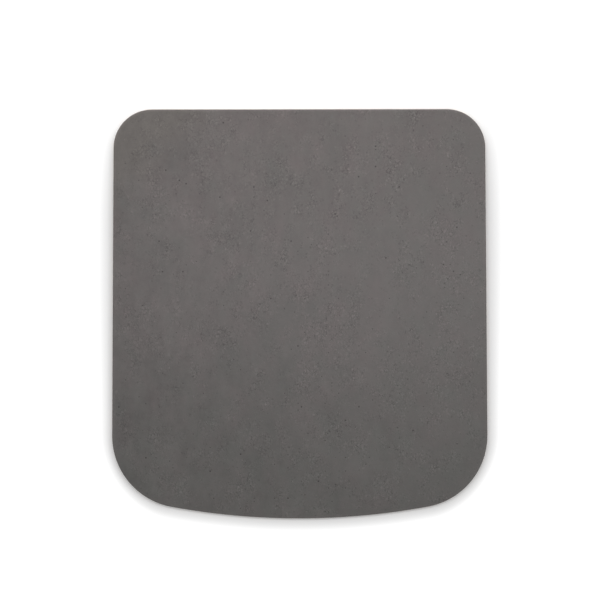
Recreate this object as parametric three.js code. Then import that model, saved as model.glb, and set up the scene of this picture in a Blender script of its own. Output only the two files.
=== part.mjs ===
// A leather mouse pad for a desk, built as the real one is: a flat laminate of five die-cut sheets.
// From the desk up they are a cork base, a bond film, a stiffening board, a second bond film and the leather.
//
// Units are millimetres and +Z is up. +Y points to the straight back edge and -Y to the bowed front edge.
// The origin is the middle of the pad's underside, as its bounding box has it.

import * as THREE from "three";

// Outline, seen from above
const DEPTH = 242; // back edge to the crown of the bowed front edge
const BACK_WIDTH = 219.6; // between the lines of the two sides, at the back edge
const FRONT_WIDTH = 222.6; // between the lines of the two sides, level with the front crown
const BACK_CORNER_RADIUS = 22.8;
const FRONT_CORNER_RADIUS = 42.7;
const FRONT_BOW_RADIUS = 422;

// Thickness of each sheet
const CORK_THICKNESS = 1.6;
const BOARD_THICKNESS = 0.6;
const FILM_THICKNESS = 0.15;
const LEATHER_THICKNESS = 2.3;

// Edge finish
const LEATHER_EDGE_RADIUS = 0.7; // rounding of the leather's upper edge by the edge slicker
const CORK_EDGE_CHAMFER = 0.35; // sanded break along the cork's lower edge
const FILM_SETBACK = 0.4; // the films stop short of the edge, so that no glue is squeezed out

// Fineness of the facets
const CORNER_SEGMENTS = 24;
const BOW_SEGMENTS = 24;
const EDGE_SEGMENTS = 5;

const HALF_TURN = Math.PI;
const QUARTER_TURN = HALF_TURN / 2;

// The outline is five arcs, listed anticlockwise from the right side, with straight runs between them.
// Each arc has a centre, a radius, a first and last angle, and a number of segments.
function outlineArcs() {
  const sideLean = Math.atan2((FRONT_WIDTH - BACK_WIDTH) / 2, DEPTH);
  const sideNormal = new THREE.Vector2(Math.cos(sideLean), Math.sin(sideLean));
  const sideAlong = new THREE.Vector2(-sideNormal.y, sideNormal.x);
  const backY = DEPTH / 2;
  const sideOffset = sideNormal.dot(new THREE.Vector2(BACK_WIDTH / 2, backY));
  const bowCentre = new THREE.Vector2(0, FRONT_BOW_RADIUS - DEPTH / 2);

  // A back corner touches the back edge and the side.
  const backCornerY = backY - BACK_CORNER_RADIUS;
  const backCorner = new THREE.Vector2(
    (sideOffset - BACK_CORNER_RADIUS - sideNormal.y * backCornerY) / sideNormal.x,
    backCornerY,
  );

  // A front corner touches the side, and the bow from within.
  const onSide = sideNormal.clone().multiplyScalar(sideOffset - FRONT_CORNER_RADIUS);
  const fromBow = onSide.clone().sub(bowCentre);
  const reach = FRONT_BOW_RADIUS - FRONT_CORNER_RADIUS;
  const lead = fromBow.dot(sideAlong);
  const slide = -lead - Math.sqrt(lead ** 2 - fromBow.lengthSq() + reach ** 2);
  const frontCorner = onSide.addScaledVector(sideAlong, slide);
  const bowEnd = frontCorner.clone().sub(bowCentre).angle();

  const mirrored = (point) => new THREE.Vector2(-point.x, point.y);
  const arc = (centre, radius, from, to, segments) => ({ centre, radius, from, to, segments });
  return [
    arc(backCorner, BACK_CORNER_RADIUS, sideLean, QUARTER_TURN, CORNER_SEGMENTS),
    arc(mirrored(backCorner), BACK_CORNER_RADIUS, QUARTER_TURN, HALF_TURN - sideLean, CORNER_SEGMENTS),
    arc(mirrored(frontCorner), FRONT_CORNER_RADIUS, HALF_TURN - sideLean, 3 * HALF_TURN - bowEnd, CORNER_SEGMENTS),
    arc(bowCentre, FRONT_BOW_RADIUS, 3 * HALF_TURN - bowEnd, bowEnd, BOW_SEGMENTS),
    arc(frontCorner, FRONT_CORNER_RADIUS, bowEnd, 2 * HALF_TURN + sideLean, CORNER_SEGMENTS),
  ];
}

// Points of the outline drawn in by an inset: every arc keeps its centre and angles, and loses the inset in radius.
function outlinePoints(arcs, inset) {
  const points = [];
  for (const { centre, radius, from, to, segments } of arcs) {
    for (let step = 0; step <= segments; step += 1) {
      const angle = THREE.MathUtils.lerp(from, to, step / segments);
      const spoke = new THREE.Vector2(Math.cos(angle), Math.sin(angle));
      points.push(spoke.multiplyScalar(radius - inset).add(centre));
    }
  }
  const repeats = (point, index) => point.distanceTo(points.at(index - 1)) < 1e-4 * DEPTH;
  return points.filter((point, index) => !repeats(point, index));
}

// A closed sheet whose edge follows a profile of { inset, height } steps, from its underside to its top.
function sheetGeometry(arcs, profile) {
  const rings = profile.map(({ inset }) => outlinePoints(arcs, inset));
  const count = rings[0].length;
  const positions = rings.flatMap((ring, level) =>
    ring.flatMap((point) => [point.x, point.y, profile[level].height]),
  );
  const triangles = [];
  for (let level = 0; level + 1 < rings.length; level += 1) {
    for (let i = 0; i < count; i += 1) {
      const next = (i + 1) % count;
      const low = level * count;
      const high = low + count;
      triangles.push(low + i, low + next, high + next, low + i, high + next, high + i);
    }
  }
  const topRing = (rings.length - 1) * count;
  for (const [a, b, c] of THREE.ShapeUtils.triangulateShape(rings[0], [])) {
    triangles.push(a, c, b);
    triangles.push(topRing + a, topRing + b, topRing + c);
  }
  const geometry = new THREE.BufferGeometry();
  geometry.setAttribute("position", new THREE.Float32BufferAttribute(positions, 3));
  geometry.setIndex(triangles);
  geometry.computeVertexNormals();
  return geometry;
}

// Edge profiles, each measured up from the sheet's own underside
function squareEdge(thickness, setback) {
  return [
    { inset: setback, height: 0 },
    { inset: setback, height: thickness },
  ];
}

function chamferedLowerEdge(thickness, chamfer) {
  const cut = Math.min(chamfer, thickness / 2);
  return [
    { inset: cut, height: 0 },
    { inset: 0, height: cut },
    { inset: 0, height: thickness },
  ];
}

function roundedUpperEdge(thickness, radius) {
  const round = Math.min(radius, thickness / 2);
  const profile = [{ inset: 0, height: 0 }];
  for (let step = 0; step <= EDGE_SEGMENTS; step += 1) {
    const angle = (QUARTER_TURN * step) / EDGE_SEGMENTS;
    profile.push({
      inset: round * (1 - Math.cos(angle)),
      height: thickness - round * (1 - Math.sin(angle)),
    });
  }
  return profile;
}

function finish(color, roughness) {
  return new THREE.MeshStandardMaterial({ color, roughness, metalness: 0 });
}

const cork = finish(0xb08558, 0.9);
const bondFilm = finish(0xcfc7b6, 0.5);
const fibreboard = finish(0x2b2927, 0.85);
const leather = finish(0x6a6664, 0.6);

// The sheets, in the order that they are laid up from the desk
const layUp = [
  {
    name: "cork_base",
    material: cork,
    thickness: CORK_THICKNESS,
    profile: chamferedLowerEdge(CORK_THICKNESS, CORK_EDGE_CHAMFER),
  },
  {
    name: "lower_bond_film",
    material: bondFilm,
    thickness: FILM_THICKNESS,
    profile: squareEdge(FILM_THICKNESS, FILM_SETBACK),
  },
  {
    name: "stiffening_board",
    material: fibreboard,
    thickness: BOARD_THICKNESS,
    profile: squareEdge(BOARD_THICKNESS, 0),
  },
  {
    name: "upper_bond_film",
    material: bondFilm,
    thickness: FILM_THICKNESS,
    profile: squareEdge(FILM_THICKNESS, FILM_SETBACK),
  },
  {
    name: "leather_top",
    material: leather,
    thickness: LEATHER_THICKNESS,
    profile: roundedUpperEdge(LEATHER_THICKNESS, LEATHER_EDGE_RADIUS),
  },
];

const pad = new THREE.Group();
pad.name = "mouse_pad";

// Each sheet rests face to face on the one below. Heights are kept as the 32-bit numbers that a mesh holds,
// so that the two faces lie in exactly one plane.
const arcs = outlineArcs();
let height = 0;
for (const { name, material, thickness, profile } of layUp) {
  const sheet = new THREE.Mesh(sheetGeometry(arcs, profile), material);
  sheet.name = name;
  sheet.position.z = height;
  pad.add(sheet);
  height = Math.fround(height + Math.fround(thickness));
}

export default pad;
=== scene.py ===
"""Dresses the sheets of a leather mouse pad and shows the pad from straight above on a white table.

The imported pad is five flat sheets. The cork, the board and the leather get fuller meshes made from copies of
their solids, the two bond films keep their solids, and every sheet gets its own procedural material.
Lengths are in metres. +Z is up and +Y points to the straight back edge.
"""

import math
import random
from contextlib import contextmanager
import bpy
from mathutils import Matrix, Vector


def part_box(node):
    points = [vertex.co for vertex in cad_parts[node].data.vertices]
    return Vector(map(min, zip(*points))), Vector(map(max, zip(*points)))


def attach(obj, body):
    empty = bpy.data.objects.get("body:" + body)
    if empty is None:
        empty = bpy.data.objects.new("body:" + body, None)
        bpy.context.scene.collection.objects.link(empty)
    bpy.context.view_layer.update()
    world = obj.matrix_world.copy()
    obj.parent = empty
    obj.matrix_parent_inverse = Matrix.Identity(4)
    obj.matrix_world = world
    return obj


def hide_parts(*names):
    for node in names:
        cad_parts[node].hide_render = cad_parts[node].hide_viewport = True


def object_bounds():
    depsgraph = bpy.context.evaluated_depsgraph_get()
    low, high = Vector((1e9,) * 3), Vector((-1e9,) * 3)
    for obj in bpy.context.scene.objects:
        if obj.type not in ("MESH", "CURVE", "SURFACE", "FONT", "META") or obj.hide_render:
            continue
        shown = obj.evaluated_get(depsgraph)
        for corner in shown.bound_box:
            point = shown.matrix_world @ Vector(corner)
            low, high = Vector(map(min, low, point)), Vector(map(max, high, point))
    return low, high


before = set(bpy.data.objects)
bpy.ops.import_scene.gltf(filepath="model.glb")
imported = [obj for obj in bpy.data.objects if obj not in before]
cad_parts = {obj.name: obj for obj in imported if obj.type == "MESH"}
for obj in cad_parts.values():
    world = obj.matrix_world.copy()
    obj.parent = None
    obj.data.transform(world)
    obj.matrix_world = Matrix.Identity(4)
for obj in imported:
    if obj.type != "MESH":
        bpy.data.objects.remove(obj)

from types import SimpleNamespace

import bmesh
import bpy
from bpy.props import FloatProperty, FloatVectorProperty, IntProperty, PointerProperty
from bpy.types import NodeSocket, Operator, Panel, PropertyGroup
from mathutils import Vector

bl_info = {
    "name": "Leather Mouse Pad",
    "version": (1, 0, 0),
    "blender": (4, 5, 0),
    "location": "View3D > Sidebar > Mouse Pad",
    "description": "Makes the sheets of a leather mouse pad and the table that it is shown on",
    "category": "Object",
}

BODY = "root"
MILLIMETRE = 0.001
UP, DOWN = 1, -1

# The solids, which every place and height here is worked out from
CAD_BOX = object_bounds()
LEATHER_LOW, LEATHER_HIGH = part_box("leather_top")
PAD_WIDTH = LEATHER_HIGH.x - LEATHER_LOW.x
PAD_DEPTH = LEATHER_HIGH.y - LEATHER_LOW.y

# The photograph's frame: its side, the pad's depth in it and the place of the pad's middle, in pixels
PHOTO_PIXELS = 600
PAD_DEPTH_PIXELS = 409.1
PAD_MIDDLE_PIXELS = (299.6, 313.8)

# The studio: the table's width and its gap under the cork, and each soft panel's place, size and lean
TABLE_WIDTH = 12.0
TABLE_GAP = 0.00002
OVERHEAD_PLACE = (0.065, 0.043, 0.5)
OVERHEAD_SIZE = (0.62, 0.15)
OVERHEAD_LEAN = math.radians(-12.0)
BACK_PLACE = (-0.06, 0.354, 0.1)
BACK_SIZE = (0.53, 0.21)
BACK_LEAN = math.radians(-59.0)

# Seeds of the random places of the cork's pits and the leather's pores
CORK_SEED = 3
LEATHER_SEED = 11

# Limits in the meshes: points that are merged, faces that count as one, and edges that look round
MERGE_DISTANCE = 1e-6
ONE_FACE_ANGLE = math.radians(0.05)
ROUND_ANGLE = math.radians(35.0)

# Height of the normal above which a face is level, and below which a face or a point is on the wall
LEVEL_FACE = 0.999
WALL_FACE = 0.9
WALL_POINT = 0.95

# Rise under which an edge is level, and the shares of a square that a whole one has and that a cut snaps to
LEVEL_EDGE = 1e-7
WHOLE_SQUARE = 0.98
SNAP_SHARE = 0.01


def length(name, description, millimetres):
    """A length property, given in millimetres and kept in metres."""
    return FloatProperty(
        name=name,
        description=description,
        default=millimetres * MILLIMETRE,
        min=0.0,
        precision=5,
        subtype="DISTANCE",
        unit="LENGTH",
    )


def count(name, description, default):
    """A number of like things."""
    return IntProperty(name=name, description=description, default=default, min=0)


def level(name, description, default, unit="NONE"):
    """A strength of light, or a share of one."""
    return FloatProperty(name=name, description=description, default=default, min=0.0, unit=unit)


def colour(name, description, default):
    """A colour property, in linear light."""
    return FloatVectorProperty(
        name=name,
        description=description,
        default=default,
        min=0.0,
        max=1.0,
        size=3,
        subtype="COLOR",
    )


class PadSizes(PropertyGroup):
    """Sizes of what the finish adds to the plain sheets"""

    leather_rim: length("Leather rim", "Width of the plain rim round the leather's face", 1.0)
    leather_square: length("Leather square", "Width of a square of the leather's face", 2.0)
    leather_swell: length("Leather swell", "Height of the slow swells in the leather's face", 0.12)
    swell_span: length("Swell span", "Distance from one swell of the leather to the next", 16.0)
    edge_round: length("Edge round", "Height of the rounding at the leather's upper edge", 0.7)
    wide_pores: count("Wide pores", "Number of wide hair pores", 34)
    wide_pore: length("Wide pore", "Width of a wide hair pore", 1.35)
    middle_pores: count("Middle pores", "Number of common hair pores", 120)
    middle_pore: length("Middle pore", "Width of a common hair pore", 1.0)
    fine_pores: count("Fine pores", "Number of fine hair pores", 260)
    fine_pore: length("Fine pore", "Width of a fine hair pore", 0.75)
    pore_depth: length("Pore depth", "Depth of a wide hair pore", 0.12)
    cork_rim: length("Cork rim", "Width of the plain rim round the cork's underside", 1.5)
    cork_square: length("Cork square", "Width of a square of the cork's underside", 3.0)
    cork_granule: length("Cork granule", "Width of a granule of the pressed cork", 1.5)
    cork_pits: count("Cork pits", "Number of places where a granule has come out of the underside", 240)
    cork_pit: length("Cork pit", "Width of a place where a granule has come out", 1.4)
    cork_pit_depth: length("Cork pit depth", "Depth of a place where a granule has come out", 0.25)
    cork_step: length("Cork step", "Longest straight run along the cork's cut edge", 0.7)
    cork_bite: length("Cork bite", "Depth to which the knife tore granules from the cork's edge", 0.3)
    board_step: length("Board step", "Longest straight run along the board's cut edge", 1.0)
    board_fray: length("Board fray", "Depth of the fraying at the board's cut edge", 0.1)


class PadColours(PropertyGroup):
    """Colours of the pad's sheets"""

    leather_warm: colour("Warm leather", "Warmer patches of the dyed face", (0.1164, 0.0990, 0.0983))
    leather_cool: colour("Cool leather", "Cooler patches of the dyed face", (0.1074, 0.1043, 0.0991))
    leather_tan: colour("Tan leather", "Yellower corner of the dyed face", (0.1133, 0.1026, 0.0961))
    # The pore colour is painted shade at the bottom of the hair pores
    leather_pore_shade: colour("Leather pore", "Bottom of the leather's hair pores", (0.022, 0.019, 0.017))
    leather_edge: colour("Leather edge", "Burnished cut edge of the leather", (0.058, 0.052, 0.048))
    cork_pale: colour("Pale cork", "Palest granules of the cork", (0.56, 0.34, 0.16))
    cork_dark: colour("Dark cork", "Darkest granules of the cork", (0.2, 0.088, 0.03))
    cork_seam: colour("Cork seam", "Binder between the granules", (0.085, 0.036, 0.013))
    board: colour("Board", "Black pressed fibre of the stiffening board", (0.024, 0.022, 0.02))
    board_fleck: colour("Board fleck", "Undyed fibres of the stiffening board", (0.11, 0.1, 0.088))
    film: colour("Bond film", "Cured adhesive of the bond films", (0.62, 0.57, 0.47))
    film_cloud: colour("Film cloud", "Cloudy patches of the bond films", (0.5, 0.4, 0.26))
    table: colour("Table", "White table under the pad", (0.9, 0.9, 0.9))


class Studio(PropertyGroup):
    """The camera, the lights and the white round the pad"""

    lens: FloatProperty(name="Lens", description="Focal length of the camera", default=85.0, unit="CAMERA")
    camera_roll: FloatProperty(
        name="Camera roll",
        description="Turn of the camera about its line of sight",
        default=math.radians(-0.07),
        subtype="ANGLE",
    )
    overhead: level("Overhead panel", "Power of the soft panel above the pad", 1.22, "POWER")
    back: level("Back panel", "Power of the soft panel behind the pad", 1.34, "POWER")
    room: level("Room", "Light from the pale room all round", 0.28)
    # The table's glow is least at the pad's edge, which paints part of the pad's shadow: more painted shadow
    # on the right, less round the back
    glow_back: level("Back glow", "White that the camera adds to the table at the pad's back edge", 0.03)
    glow_front: level("Front glow", "White that the camera adds to the table at the pad's front edge", 0.16)
    glow_side: level("Side glow", "Share by which that white is more on the left and less on the right", 0.2)
    glow_lift: level("Glow lift", "White that the camera adds as well round the back of the pad", 0.07)
    reach_back: length("Back reach", "Distance behind the pad at which the table is pure white", 34.0)
    reach_front: length("Front reach", "Distance before the pad at which the table is pure white", 18.7)
    glow_corner: length("Glow corner", "Radius of the corners of the table's least lit part", 33.0)
    glow_bow: length("Glow bow", "Radius of the bowed front of the table's least lit part", 422.0)


# Node trees


class Graph:
    """A node tree with short ways to add and link its nodes."""

    def __init__(self, tree):
        self.tree = tree

    def feed(self, socket, value):
        """Links an input to a socket, or sets it to a number, a vector or a colour."""
        if isinstance(value, NodeSocket):
            self.tree.links.new(value, socket)
        elif socket.type == "RGBA":
            socket.default_value = (*value, 1.0)
        else:
            socket.default_value = value

    def add(self, kind, inputs=None, **settings):
        """Adds a node with its settings, and feeds its inputs by name or number."""
        node = self.tree.nodes.new(kind)
        for name, value in settings.items():
            setattr(node, name, value)
        for name, value in (inputs or {}).items():
            self.feed(node.inputs[name], value)
        return node

    def maths(self, operation, first, second=0.0):
        """The result of a maths node on one or two values."""
        return self.add("ShaderNodeMath", {0: first, 1: second}, operation=operation).outputs[0]

    def vector(self, operation, first, second=(0.0, 0.0, 0.0)):
        """The result of a vector maths node: a value for a length, and otherwise a vector."""
        node = self.add("ShaderNodeVectorMath", {0: first, 1: second}, operation=operation)
        return node.outputs["Value" if operation == "LENGTH" else "Vector"]

    def total(self, start, *terms):
        """A start plus each value times its weight."""
        for value, weight in terms:
            node = self.add("ShaderNodeMath", {0: value, 1: weight, 2: start}, operation="MULTIPLY_ADD")
            start = node.outputs[0]
        return start

    def ease(self, value, low, high, at_low=0.0, at_high=1.0):
        """A smooth step from at_low to at_high while the value goes from low to high."""
        inputs = {"Value": value, "From Min": low, "From Max": high, "To Min": at_low, "To Max": at_high}
        return self.add("ShaderNodeMapRange", inputs, interpolation_type="SMOOTHSTEP").outputs["Result"]

    def blend(self, factor, first, second):
        """A colour between two others."""
        node = self.add("ShaderNodeMix", {"Factor": factor}, data_type="RGBA")
        first_socket, second_socket = (socket for socket in node.inputs if socket.type == "RGBA")
        self.feed(first_socket, first)
        self.feed(second_socket, second)
        return next(socket for socket in node.outputs if socket.type == "RGBA")

    def brighten(self, tint, value):
        """A colour made lighter or darker by a value about 1."""
        return self.add("ShaderNodeHueSaturation", {"Color": tint, "Value": value}).outputs["Color"]

    def group(self, tree, **inputs):
        """What a node group puts out: its only output, or all of them by name."""
        node = self.add("ShaderNodeGroup", node_tree=tree)
        for name, value in inputs.items():
            self.feed(node.inputs[name.capitalize()], value)
        return node.outputs if len(node.outputs) > 1 else node.outputs[0]


def new_group(name, inputs, outputs):
    """An empty shader node group, with inputs of (name, kind, default) and the named values put out."""
    tree = bpy.data.node_groups.new(name, "ShaderNodeTree")
    for socket, kind, default in inputs:
        tree.interface.new_socket(socket, in_out="INPUT", socket_type=kind).default_value = default
    for socket in outputs:
        tree.interface.new_socket(socket, in_out="OUTPUT", socket_type="NodeSocketFloat")
    graph = Graph(tree)
    return graph, graph.add("NodeGroupInput").outputs, graph.add("NodeGroupOutput").inputs


def mottle_group():
    """Cloudy unevenness about 0, mostly from -1 to 1, whose patches have a width along each axis."""
    sockets = (
        ("Vector", "NodeSocketVector", (0.0, 0.0, 0.0)),
        ("Span", "NodeSocketVector", (0.01, 0.01, 0.01)),
        ("Detail", "NodeSocketFloat", 2.0),
        ("Fineness", "NodeSocketFloat", 0.5),
        ("Twist", "NodeSocketFloat", 0.0),
    )
    graph, given, result = new_group("Mottle", sockets, ["Value"])
    inputs = {
        "Vector": graph.vector("DIVIDE", given["Vector"], given["Span"]),
        "Scale": 1.0,
        "Detail": given["Detail"],
        "Roughness": given["Fineness"],
        "Distortion": given["Twist"],
    }
    noise = graph.add("ShaderNodeTexNoise", inputs).outputs["Fac"]
    spread = {"Value": noise, "From Min": 0.25, "From Max": 0.75, "To Min": -1.0, "To Max": 1.0}
    even = graph.add("ShaderNodeMapRange", spread, clamp=False)
    graph.feed(result["Value"], even.outputs["Result"])
    return graph.tree


def dots_group():
    """Scattered soft dots, 1 inside and 0 outside, on a share of evenly spread places."""
    sockets = (
        ("Vector", "NodeSocketVector", (0.0, 0.0, 0.0)),
        ("Spacing", "NodeSocketFloat", 0.004),
        ("Width", "NodeSocketFloat", 0.001),
        ("Share", "NodeSocketFloat", 0.5),
    )
    graph, given, result = new_group("Dots", sockets, ["Mask"])
    often = graph.maths("DIVIDE", 1.0, given["Spacing"])
    cells = graph.add("ShaderNodeTexVoronoi", {"Vector": given["Vector"], "Scale": often})
    away = graph.maths("MULTIPLY", cells.outputs["Distance"], given["Spacing"])
    radius = graph.maths("MULTIPLY", given["Width"], 0.5)
    inside = graph.ease(away, radius, graph.maths("MULTIPLY", radius, 0.3))
    chance = graph.add("ShaderNodeSeparateColor", {"Color": cells.outputs["Color"]}).outputs["Red"]
    chosen = graph.maths("LESS_THAN", chance, given["Share"])
    graph.feed(result["Mask"], graph.maths("MULTIPLY", inside, chosen))
    return graph.tree


def cells_group():
    """Crooked cells side by side: a tone from 0 to 1 for each, and a mask that is 1 on their seams."""
    sockets = (
        ("Vector", "NodeSocketVector", (0.0, 0.0, 0.0)),
        ("Span", "NodeSocketVector", (0.001, 0.001, 0.001)),
        ("Crook", "NodeSocketFloat", 0.4),
        ("Seam", "NodeSocketFloat", 0.09),
    )
    graph, given, result = new_group("Cells", sockets, ["Tone", "Seam"])
    even = graph.vector("DIVIDE", given["Vector"], given["Span"])
    warp = graph.add("ShaderNodeTexNoise", {"Vector": even, "Scale": 2.0, "Detail": 2.0}).outputs["Color"]
    shift = graph.vector("SUBTRACT", warp, (0.5, 0.5, 0.5))
    crooked = graph.add("ShaderNodeVectorMath", {0: shift, "Scale": given["Crook"]}, operation="SCALE")
    bent = graph.vector("ADD", even, crooked.outputs["Vector"])
    cells = graph.add("ShaderNodeTexVoronoi", {"Vector": bent, "Scale": 1.0})
    walls = graph.add("ShaderNodeTexVoronoi", {"Vector": bent, "Scale": 1.0}, feature="DISTANCE_TO_EDGE")
    tone = graph.add("ShaderNodeSeparateColor", {"Color": cells.outputs["Color"]}).outputs["Red"]
    graph.feed(result["Tone"], tone)
    graph.feed(result["Seam"], graph.ease(walls.outputs["Distance"], given["Seam"], 0.01))
    return graph.tree


def shared(name, build):
    """A node group that is built once and placed in every material that uses it."""
    return bpy.data.node_groups.get(name) or build()


def new_material(name):
    """A material with a Principled surface: its graph, its shader and the piece's own coordinates."""
    material = bpy.data.materials.new(name)
    material.use_nodes = True
    material.node_tree.nodes.clear()
    graph = Graph(material.node_tree)
    shader = graph.add("ShaderNodeBsdfPrincipled")
    graph.add("ShaderNodeOutputMaterial", {"Surface": shader.outputs["BSDF"]})
    place = graph.add("ShaderNodeTexCoord").outputs["Object"]
    return material, graph, shader.inputs, place


def set_relief(graph, surface, height, distance, strength):
    """A bump on the surface from a height map."""
    bump = graph.add("ShaderNodeBump", {"Height": height, "Distance": distance, "Strength": strength})
    graph.feed(surface["Normal"], bump.outputs["Normal"])


def leather_texture(graph, place):
    """The values that make up the leather's texture, each by its name."""
    mottle = shared("Mottle", mottle_group)
    dots = shared("Dots", dots_group)
    cells = shared("Cells", cells_group)
    cloud = graph.group(mottle, vector=place, span=(0.031, 0.034, 0.031), detail=6.0, fineness=0.8)
    streak = graph.group(mottle, vector=place, span=(0.006, 0.014, 0.006), detail=3.0, fineness=0.6)
    drift = graph.group(mottle, vector=place, span=(0.014, 0.018, 0.014), detail=4.0, fineness=0.7)
    fibres = graph.group(mottle, vector=place, span=(0.004, 0.004, 0.00018), detail=4.0)
    follicles = graph.group(dots, vector=place, spacing=0.0042, width=0.0018, share=0.6)

    # Specks and pebbled grain come in patches, with calmer leather between them
    patch = graph.group(mottle, vector=place, span=(0.01, 0.0125, 0.01), detail=5.0, fineness=0.75)
    flecks = graph.group(mottle, vector=place, span=(0.0009, 0.0011, 0.0009), detail=1.0, twist=1.0)
    sharp = graph.maths("MULTIPLY", flecks, graph.maths("ABSOLUTE", flecks))
    specks = graph.maths("MULTIPLY", sharp, graph.ease(patch, -0.4, 0.5))
    pebbles = graph.group(cells, vector=place, span=(0.0018, 0.0023, 0.0018), crook=1.2, seam=0.16)
    pebble = graph.total(0.08, (pebbles["Tone"], 0.65), (pebbles["Seam"], -1.1))
    grain = graph.maths("MULTIPLY", pebble, graph.ease(patch, -0.25, 0.75))
    return SimpleNamespace(
        cloud=cloud,
        streak=streak,
        drift=drift,
        fibres=fibres,
        follicles=follicles,
        specks=specks,
        grain=grain,
    )


def leather_dye(graph, spot, drift, colours):
    """The dye's colour: warmer at the back, cooler at the front and yellower in the back left corner."""
    hide = graph.ease(spot["Y"], LEATHER_LOW.y, 0.25 * LEATHER_HIGH.y, 0.17, 0.58)
    warmth = graph.total(hide, (drift, 0.4), (spot["X"], -0.45))
    greys = graph.blend(warmth, colours.leather_cool, colours.leather_warm)
    back_left = LEATHER_HIGH.y - LEATHER_LOW.x
    corner = graph.total(spot["Y"], (spot["X"], -1.0), (drift, 0.06 * back_left))
    yellowed = graph.ease(corner, 0.67 * back_left, 0.86 * back_left)
    return graph.blend(yellowed, greys, colours.leather_tan)


def leather_lightness(graph, spot, texture, edge_round):
    """How light the face is about 1: cloudier on the left, more specked on the right, paler at the rim from
    rubbed wear and a painted highlight, and lighter towards the right as painted light.
    """
    clouds = graph.total(0.0, (texture.cloud, 0.17), (texture.streak, 0.06))
    cloudier = graph.total(1.02, (spot["X"], -3.2))
    speckier = graph.total(0.37, (spot["X"], 1.2))
    marks = graph.total(
        1.0,
        (clouds, cloudier),
        (texture.specks, speckier),
        (texture.grain, 0.3),
        (texture.follicles, -0.12),
    )
    # Paler along the rounding and the rim band: partly rubbed wear, partly a painted highlight
    rubbed_and_highlit = graph.ease(spot["Z"], LEATHER_HIGH.z - 0.1 * edge_round, LEATHER_HIGH.z - 0.4 * edge_round)
    rim = graph.add("ShaderNodeAttribute", attribute_name="rim").outputs["Fac"]
    # The last term makes the face lighter towards the right: painted light
    return graph.total(marks, (rim, 0.18), (rubbed_and_highlit, 0.3), (spot["X"], 0.27))


def leather_material(sizes, colours):
    """Dyed full-grain leather: cloudy dye, patchy grain, hair pores with painted shade, painted light towards
    the right and at the rim, and a burnished cut edge.
    """
    material, graph, surface, place = new_material("leather")
    spot = graph.add("ShaderNodeSeparateXYZ", {"Vector": place}).outputs
    texture = leather_texture(graph, place)

    # The dyed face, with painted light towards the right and at the rim, and its pores with painted shade
    dye = leather_dye(graph, spot, texture.drift, colours)
    # The lightness carries painted light as well as the dye's own marks
    dyed = graph.brighten(dye, leather_lightness(graph, spot, texture, sizes.edge_round))
    # Painted shade fills the pits of the pores
    pit = graph.add("ShaderNodeAttribute", attribute_name="pit").outputs["Fac"]
    face = graph.blend(graph.ease(pit, 0.0, 0.8, 0.0, 0.9), dyed, colours.leather_pore_shade)

    # The cut edge, below the rounding
    top = LEATHER_HIGH.z
    edge = graph.ease(spot["Z"], top - 0.2 * sizes.edge_round, top - sizes.edge_round)
    streaky = graph.total(1.0, (texture.fibres, 0.35), (texture.specks, 0.1))
    burnished = graph.brighten(colours.leather_edge, streaky)

    graph.feed(surface["Base Color"], graph.blend(edge, face, burnished))
    dull = graph.total(0.42, (texture.cloud, 0.03), (texture.specks, 0.05), (texture.follicles, 0.08))
    graph.feed(surface["Roughness"], dull)
    relief = graph.total(
        0.0,
        (texture.cloud, 0.5),
        (texture.specks, 0.2),
        (texture.grain, 0.6),
        (texture.follicles, -0.6),
        (texture.fibres, 0.25),
    )
    set_relief(graph, surface, relief, distance=0.00006, strength=0.7)
    surface["Specular IOR Level"].default_value = 0.27
    return material


def cork_material(sizes, colours):
    """Pressed cork: granules of many browns, dark binder between them, specks of bark and painted shade in the
    pits where granules came out.
    """
    material, graph, surface, place = new_material("cork")
    mottle = shared("Mottle", mottle_group)
    dots = shared("Dots", dots_group)
    cells = shared("Cells", cells_group)

    granules = graph.group(cells, vector=place, span=(sizes.cork_granule,) * 3, crook=0.4, seam=0.09)
    tone, seam = granules["Tone"], granules["Seam"]
    inner = graph.group(mottle, vector=place, span=(0.0005,) * 3, detail=3.0)
    cloud = graph.group(mottle, vector=place, span=(0.03,) * 3, detail=2.0)
    bark = graph.group(dots, vector=place, spacing=0.0045, width=0.0022, share=0.5)
    pit = graph.add("ShaderNodeAttribute", attribute_name="pit").outputs["Fac"]

    pale = graph.total(tone, (inner, 0.16), (cloud, 0.08))
    browns = graph.blend(pale, colours.cork_dark, colours.cork_pale)
    # The binder and the bark are the cork's own colour; the pits' share is painted shade
    dark = graph.total(0.0, (seam, 0.6), (bark, 0.7), (pit, 0.6))
    graph.feed(surface["Base Color"], graph.blend(dark, browns, colours.cork_seam))
    graph.feed(surface["Roughness"], graph.total(0.86, (inner, 0.06), (seam, 0.06)))
    relief = graph.total(0.0, (inner, 0.25), (seam, -0.6), (tone, 0.3))
    set_relief(graph, surface, relief, distance=0.0001, strength=0.8)
    surface["Specular IOR Level"].default_value = 0.25
    return material


def board_material(colours):
    """Black pressed fibreboard: matted fibres that lie flat, with a few undyed ones."""
    material, graph, surface, place = new_material("fibreboard")
    mottle = shared("Mottle", mottle_group)
    dots = shared("Dots", dots_group)
    fibres = graph.group(mottle, vector=place, span=(0.0022, 0.0022, 0.00012), detail=4.0)
    mat = graph.group(mottle, vector=place, span=(0.0006, 0.0006, 0.0002), detail=3.0)
    undyed = graph.group(dots, vector=place, spacing=0.0016, width=0.0007, share=0.35)
    black = graph.brighten(colours.board, graph.total(1.0, (fibres, 0.45), (mat, 0.25)))
    flecked = graph.blend(graph.maths("MULTIPLY", undyed, 0.6), black, colours.board_fleck)
    graph.feed(surface["Base Color"], flecked)
    graph.feed(surface["Roughness"], graph.total(0.84, (mat, 0.08)))
    relief = graph.total(0.0, (fibres, 0.6), (mat, 0.4))
    set_relief(graph, surface, relief, distance=0.00005, strength=0.8)
    return material


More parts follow.
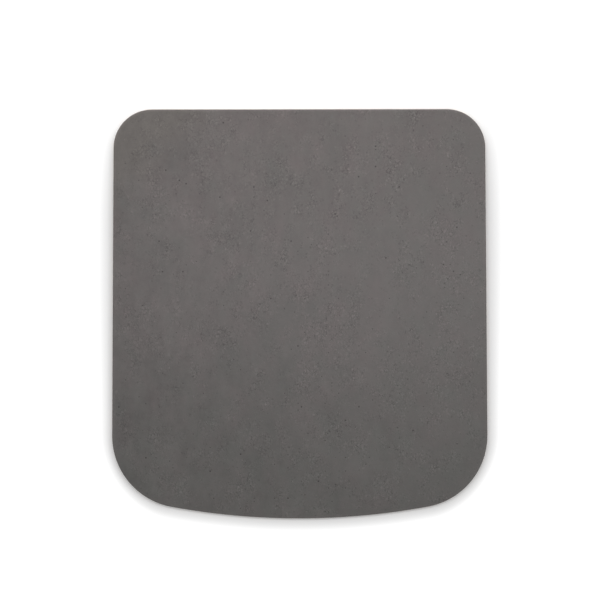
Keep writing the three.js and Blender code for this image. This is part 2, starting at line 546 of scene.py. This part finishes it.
def film_material(colours):
    """Cured transfer adhesive: cloudy amber, smooth in places and dull in others."""
    material, graph, surface, place = new_material("bond_film")
    mottle = shared("Mottle", mottle_group)
    dots = shared("Dots", dots_group)
    cloud = graph.group(mottle, vector=place, span=(0.006,) * 3, detail=4.0)
    bubbles = graph.group(dots, vector=place, spacing=0.002, width=0.0009, share=0.3)
    patchy = graph.total(0.5, (cloud, 0.5), (bubbles, -0.3))
    graph.feed(surface["Base Color"], graph.blend(patchy, colours.film_cloud, colours.film))
    graph.feed(surface["Roughness"], graph.total(0.42, (cloud, 0.14)))
    relief = graph.total(0.0, (cloud, 0.4), (bubbles, 0.6))
    set_relief(graph, surface, relief, distance=0.00003, strength=0.6)
    return material


def seen_directly(graph):
    """1 for a ray that shows the background, straight or by a mirror or glass, and 0 for light."""
    path = graph.add("ShaderNodeLightPath").outputs
    mirrored = graph.maths("MAXIMUM", path["Is Glossy Ray"], path["Is Transmission Ray"])
    return graph.maths("MAXIMUM", path["Is Camera Ray"], mirrored)


def table_material(colours, studio):
    """A matte white table that keeps the pad's shadow and is pure white further out; the white it adds is
    least at the pad's edge, which paints shadow round the pad.
    """
    material = bpy.data.materials.new("white_table")
    material.use_nodes = True
    material.node_tree.nodes.clear()
    graph = Graph(material.node_tree)
    paint = graph.add("ShaderNodeBsdfDiffuse", {"Color": colours.table})
    place = graph.add("ShaderNodeTexCoord").outputs["Object"]
    spot = graph.add("ShaderNodeSeparateXYZ", {"Vector": place}).outputs
    depth = (spot["Y"], LEATHER_LOW.y, LEATHER_HIGH.y)

    # White at the pad's edge, less than further out, which paints shadow there: most in front, more on the
    # left than the right, so more painted shadow on the right, and some round the back, which paints light
    # into the shadow there
    along = graph.ease(*depth, studio.glow_front, studio.glow_back)
    leftward = graph.total(1.0, (spot["X"], -2.0 * studio.glow_side / PAD_WIDTH))
    behind = graph.ease(spot["Y"], 0.45 * LEATHER_HIGH.y, LEATHER_HIGH.y)
    near = graph.total(graph.maths("MULTIPLY", along, leftward), (behind, studio.glow_lift))

    # Distance from the pad, as if its bowed front were straight and its corners were alike
    bow = graph.maths("MULTIPLY", graph.maths("MULTIPLY", spot["X"], spot["X"]), 0.5 / studio.glow_bow)
    unbowed_y = graph.maths("SUBTRACT", spot["Y"], bow)
    unbowed = graph.add("ShaderNodeCombineXYZ", {"X": spot["X"], "Y": unbowed_y}).outputs[0]
    corner = studio.glow_corner
    straight = (PAD_WIDTH / 2 - corner, PAD_DEPTH / 2 - corner, 0.0)
    past_straight = graph.vector("SUBTRACT", graph.vector("ABSOLUTE", unbowed), straight)
    away = graph.vector("LENGTH", graph.vector("MAXIMUM", past_straight))
    white = graph.ease(*depth, corner + studio.reach_front, corner + studio.reach_back)
    # The white eases up from the painted shadow at the pad's edge to pure white further out
    glow = graph.ease(away, corner, white, near, 1.0)
    seen_glow = graph.maths("MULTIPLY", seen_directly(graph), glow)
    lift = graph.add("ShaderNodeEmission", {"Strength": seen_glow})
    both = graph.add("ShaderNodeAddShader", {0: paint.outputs[0], 1: lift.outputs[0]})
    graph.add("ShaderNodeOutputMaterial", {"Surface": both.outputs[0]})
    return material


# Meshes


class SheetMesh:
    """The mesh of one sheet, started as a copy of its solid and worked on with the mesh operators."""

    def __init__(self, node_name, piece_name):
        self.node_name = node_name
        self.low, self.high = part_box(node_name)
        self.piece = bpy.data.objects.new(piece_name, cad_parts[node_name].data.copy())
        bpy.context.scene.collection.objects.link(self.piece)
        self.piece.data.materials.clear()
        with self.editing():
            bpy.ops.mesh.customdata_custom_splitnormals_clear()
            bpy.ops.mesh.remove_doubles(threshold=MERGE_DISTANCE)
            bpy.ops.mesh.dissolve_limited(angle_limit=ONE_FACE_ANGLE)

    def activate(self):
        """Selects the piece alone."""
        bpy.ops.object.select_all(action="DESELECT")
        self.piece.select_set(True)
        bpy.context.view_layer.objects.active = self.piece

    @contextmanager
    def editing(self):
        """Edit mode on the piece, with all of it selected."""
        self.activate()
        bpy.ops.object.mode_set(mode="EDIT")
        bpy.ops.mesh.select_mode(type="FACE")
        bpy.ops.mesh.select_all(action="SELECT")
        yield
        bpy.ops.object.mode_set(mode="OBJECT")

    def elements(self):
        """The mesh in edit mode."""
        return bmesh.from_edit_mesh(self.piece.data)

    def pick_faces(self, wanted):
        """In edit mode, selects the faces that pass a test, and nothing else."""
        bpy.ops.mesh.select_mode(type="FACE")
        bpy.ops.mesh.select_all(action="DESELECT")
        for face in self.elements().faces:
            if wanted(face):
                face.select_set(True)
        bmesh.update_edit_mesh(self.piece.data)

    def square_up(self, side, rim, square):
        """Insets a rim on the upper or lower face, marks all outside it, and cuts the rest into squares."""
        with self.editing():
            self.pick_faces(lambda face: face.normal.z * side > LEVEL_FACE)
            bpy.ops.mesh.inset(thickness=rim)
            mesh = self.elements()
            mark = mesh.verts.layers.float.new("rim")
            for vertex in mesh.verts:
                vertex[mark] = 0.0 if vertex.select else 1.0
            bpy.ops.mesh.hide(unselected=True)
            for across in (Vector((1.0, 0.0, 0.0)), Vector((0.0, 1.0, 0.0))):
                first, last = across.dot(self.low), across.dot(self.high)
                steps = int((last - first) / square)
                start = (first + last - steps * square) / 2
                for step in range(steps + 1):
                    bpy.ops.mesh.select_all(action="SELECT")
                    bpy.ops.mesh.bisect(
                        plane_co=across * (start + step * square),
                        plane_no=across,
                        threshold=SNAP_SHARE * square,
                    )
            bpy.ops.mesh.reveal(select=False)

    def punch(self, side, square, draw, number, width, depth, pit_shade):
        """Sinks eight-sided pits into some whole squares, and marks their points with the share of painted
        shade that their material puts in them.
        """
        corner_cut = (1.0 - math.sqrt(0.5)) * width
        with self.editing():
            whole = [
                face.index
                for face in self.elements().faces
                if len(face.verts) == 4
                and face.normal.z * side > LEVEL_FACE
                and face.calc_area() > WHOLE_SQUARE * square**2
            ]
            chosen = set(draw.sample(whole, number))
            self.pick_faces(lambda face: face.index in chosen)
            bpy.ops.mesh.inset(thickness=(square - width) / 2, use_individual=True)
            bpy.ops.mesh.bevel(offset=corner_cut, affect="VERTICES")
            self.pick_faces(lambda face: len(face.verts) == 8 and face.calc_area() < width**2)
            bpy.ops.mesh.poke(offset=-depth)
            mesh = self.elements()
            mark = mesh.verts.layers.float.get("pit") or mesh.verts.layers.float.new("pit")
            for vertex in mesh.verts:
                if vertex.select and all(face.select for face in vertex.link_faces):
                    vertex[mark] = pit_shade
            bmesh.update_edit_mesh(self.piece.data)

    def split_wall(self, longest):
        """Halves the edges that run round the wall until none is longer than asked."""
        with self.editing():
            bpy.ops.mesh.select_mode(type="EDGE")
            while True:
                bpy.ops.mesh.select_all(action="DESELECT")
                long_edges = [
                    edge
                    for edge in self.elements().edges
                    if edge.calc_length() > longest
                    and abs(edge.verts[0].co.z - edge.verts[1].co.z) < LEVEL_EDGE
                    and any(abs(face.normal.z) < WALL_FACE for face in edge.link_faces)
                ]
                if not long_edges:
                    break
                for edge in long_edges:
                    edge.select_set(True)
                bmesh.update_edit_mesh(self.piece.data)
                bpy.ops.mesh.subdivide(number_cuts=1)

    def displace(self, name, span, strength, direction, mid_level, weight_of):
        """Pushes the vertices by a cloud texture, each by its weight from its place and normal."""
        group = self.piece.vertex_groups.new(name=name)
        for vertex in self.piece.data.vertices:
            group.add([vertex.index], weight_of(vertex), "REPLACE")
        texture = bpy.data.textures.new(name, "CLOUDS")
        texture.noise_scale = span
        texture.noise_depth = 1
        modifier = self.piece.modifiers.new(name, "DISPLACE")
        modifier.texture = texture
        modifier.texture_coords = "LOCAL"
        modifier.strength = strength
        modifier.direction = direction
        modifier.mid_level = mid_level
        modifier.vertex_group = name
        self.activate()
        bpy.ops.object.modifier_apply(modifier=name)

    def roughen_wall(self, name, span, depth):
        """Eats into the cut edge here and there, and never stands proud of it."""
        def on_wall(vertex):
            return 1.0 if abs(vertex.normal.z) < WALL_POINT else 0.0

        self.displace(name, span, depth, "NORMAL", 1.0, on_wall)

    def seat(self, material):
        """Shades the finished piece and puts it in its sheet's place."""
        self.piece.data.materials.append(material)
        self.activate()
        bpy.ops.object.shade_smooth_by_angle(angle=ROUND_ANGLE)
        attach(self.piece, BODY)
        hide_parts(self.node_name)


# Operators


class MOUSEPAD_OT_cork_base(Operator):
    """Makes the cork base, with granules torn from its edge and out of its underside"""

    bl_idname = "mouse_pad.cork_base"
    bl_label = "Cork Base"
    bl_options = {"REGISTER", "UNDO"}

    def execute(self, context):
        sizes = context.scene.pad_sizes
        cork = SheetMesh("cork_base", "cork_sheet")
        cork.square_up(DOWN, sizes.cork_rim, sizes.cork_square)
        cork.punch(
            DOWN,
            sizes.cork_square,
            random.Random(CORK_SEED),
            number=sizes.cork_pits,
            width=sizes.cork_pit,
            depth=sizes.cork_pit_depth,
            pit_shade=1.0,
        )
        cork.split_wall(sizes.cork_step)
        cork.roughen_wall("torn_granules", sizes.cork_granule, sizes.cork_bite)
        cork.seat(cork_material(sizes, context.scene.pad_colours))
        return {"FINISHED"}


class MOUSEPAD_OT_bond_films(Operator):
    """Finishes the two bond films, whose solids stay as they are"""

    bl_idname = "mouse_pad.bond_films"
    bl_label = "Bond Films"
    bl_options = {"REGISTER", "UNDO"}

    def execute(self, context):
        material = film_material(context.scene.pad_colours)
        for name in ("lower_bond_film", "upper_bond_film"):
            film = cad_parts[name]
            film.data.materials.clear()
            film.data.materials.append(material)
        return {"FINISHED"}


class MOUSEPAD_OT_stiffening_board(Operator):
    """Makes the stiffening board, with a slightly frayed cut edge"""

    bl_idname = "mouse_pad.stiffening_board"
    bl_label = "Stiffening Board"
    bl_options = {"REGISTER", "UNDO"}

    def execute(self, context):
        sizes = context.scene.pad_sizes
        board = SheetMesh("stiffening_board", "board_sheet")
        board.split_wall(sizes.board_step)
        board.roughen_wall("frayed_fibres", sizes.board_step, sizes.board_fray)
        board.seat(board_material(context.scene.pad_colours))
        return {"FINISHED"}


class MOUSEPAD_OT_leather_top(Operator):
    """Makes the leather top, with hair pores and slow swells in its face"""

    bl_idname = "mouse_pad.leather_top"
    bl_label = "Leather Top"
    bl_options = {"REGISTER", "UNDO"}

    def execute(self, context):
        sizes = context.scene.pad_sizes
        leather = SheetMesh("leather_top", "leather_sheet")
        leather.square_up(UP, sizes.leather_rim, sizes.leather_square)
        draw = random.Random(LEATHER_SEED)
        # Wider pores are deeper and get more painted shade
        for number, width, pit_shade in (
            (sizes.wide_pores, sizes.wide_pore, 1.0),
            (sizes.middle_pores, sizes.middle_pore, 0.8),
            (sizes.fine_pores, sizes.fine_pore, 0.6),
        ):
            leather.punch(
                UP,
                sizes.leather_square,
                draw,
                number=number,
                width=width,
                depth=pit_shade * sizes.pore_depth,
                pit_shade=pit_shade,
            )

        def on_face(vertex):
            return max(0.0, 1.0 - (leather.high.z - vertex.co.z) / sizes.edge_round)

        leather.displace("swell", sizes.swell_span, sizes.leather_swell, "Z", 0.5, on_face)
        leather.seat(leather_material(sizes, context.scene.pad_colours))
        return {"FINISHED"}


class MOUSEPAD_OT_stage(Operator):
    """Sets the camera straight above the pad, the white table and the soft lights"""

    bl_idname = "mouse_pad.stage"
    bl_label = "Stage"
    bl_options = {"REGISTER", "UNDO"}

    def execute(self, context):
        scene = context.scene
        scene.view_settings.view_transform = "Standard"
        self.set_camera(scene)
        self.set_table(scene)
        self.set_panels(scene.studio)
        self.set_room(scene)
        return {"FINISHED"}

    def set_camera(self, scene):
        """The photograph's own view: straight down, with the pad's middle where it falls in the frame."""
        studio = scene.studio
        pixel = PAD_DEPTH / PAD_DEPTH_PIXELS
        middle = PHOTO_PIXELS / 2
        bpy.ops.object.camera_add(rotation=(0.0, 0.0, studio.camera_roll))
        camera = bpy.context.object
        camera.name = "overhead_camera"
        camera.data.lens = studio.lens
        outline_height = LEATHER_HIGH.z - scene.pad_sizes.edge_round
        camera.location = (
            (middle - PAD_MIDDLE_PIXELS[0]) * pixel,
            (PAD_MIDDLE_PIXELS[1] - middle) * pixel,
            outline_height + PHOTO_PIXELS * pixel * studio.lens / camera.data.sensor_width,
        )
        scene.camera = camera

    def set_table(self, scene):
        """A wide table just under the cork."""
        bpy.ops.mesh.primitive_plane_add(size=TABLE_WIDTH, location=(0.0, 0.0, CAD_BOX[0].z - TABLE_GAP))
        table = bpy.context.object
        table.name = "white_table"
        table.data.materials.append(table_material(scene.pad_colours, scene.studio))

    def set_panels(self, studio):
        """A soft panel above the pad and one low behind it, both leaning to the front."""
        self.add_panel("overhead_panel", OVERHEAD_PLACE, OVERHEAD_SIZE, OVERHEAD_LEAN, studio.overhead)
        back = self.add_panel("back_panel", BACK_PLACE, BACK_SIZE, BACK_LEAN, studio.back)
        back.visible_glossy = False

    def add_panel(self, name, place, size, lean, power):
        """A soft rectangle of light, turned from straight down by its lean, and unseen itself."""
        bpy.ops.object.light_add(type="AREA", location=place, rotation=(lean, 0.0, 0.0))
        panel = bpy.context.object
        panel.name = name
        panel.data.shape = "RECTANGLE"
        panel.data.size, panel.data.size_y = size
        panel.data.energy = power
        panel.visible_camera = False
        return panel

    def set_room(self, scene):
        """An even pale room, which the camera sees as white."""
        scene.world = bpy.data.worlds.new("pale_room")
        scene.world.use_nodes = True
        scene.world.node_tree.nodes.clear()
        graph = Graph(scene.world.node_tree)
        strength = {"Value": seen_directly(graph), "To Min": scene.studio.room, "To Max": 1.0}
        glow = graph.add("ShaderNodeMapRange", strength).outputs["Result"]
        room = graph.add("ShaderNodeBackground", {"Color": (1.0, 1.0, 1.0), "Strength": glow})
        graph.add("ShaderNodeOutputWorld", {"Surface": room.outputs[0]})


class MOUSEPAD_PT_sidebar(Panel):
    """Lists the pad's sheets and its studio in the 3D view's sidebar"""

    bl_label = "Mouse Pad"
    bl_idname = "MOUSEPAD_PT_sidebar"
    bl_space_type = "VIEW_3D"
    bl_region_type = "UI"
    bl_category = "Mouse Pad"

    def draw(self, context):
        for operator in OPERATORS:
            self.layout.operator(operator.bl_idname)
        for settings in (context.scene.pad_sizes, context.scene.pad_colours, context.scene.studio):
            box = self.layout.box()
            for name in settings.__annotations__:
                box.prop(settings, name)


OPERATORS = (
    MOUSEPAD_OT_stage,
    MOUSEPAD_OT_cork_base,
    MOUSEPAD_OT_bond_films,
    MOUSEPAD_OT_stiffening_board,
    MOUSEPAD_OT_leather_top,
)
CLASSES = (PadSizes, PadColours, Studio, *OPERATORS, MOUSEPAD_PT_sidebar)


def register():
    for each in CLASSES:
        bpy.utils.register_class(each)
    bpy.types.Scene.pad_sizes = PointerProperty(type=PadSizes)
    bpy.types.Scene.pad_colours = PointerProperty(type=PadColours)
    bpy.types.Scene.studio = PointerProperty(type=Studio)


def unregister():
    del bpy.types.Scene.studio
    del bpy.types.Scene.pad_colours
    del bpy.types.Scene.pad_sizes
    for each in reversed(CLASSES):
        bpy.utils.unregister_class(each)


def main():
    """Makes the whole scene."""
    register()
    bpy.ops.object.select_all(action="DESELECT")
    bpy.ops.mouse_pad.stage()
    bpy.ops.mouse_pad.cork_base()
    bpy.ops.mouse_pad.bond_films()
    bpy.ops.mouse_pad.stiffening_board()
    bpy.ops.mouse_pad.leather_top()


if __name__ == "__main__":
    main()
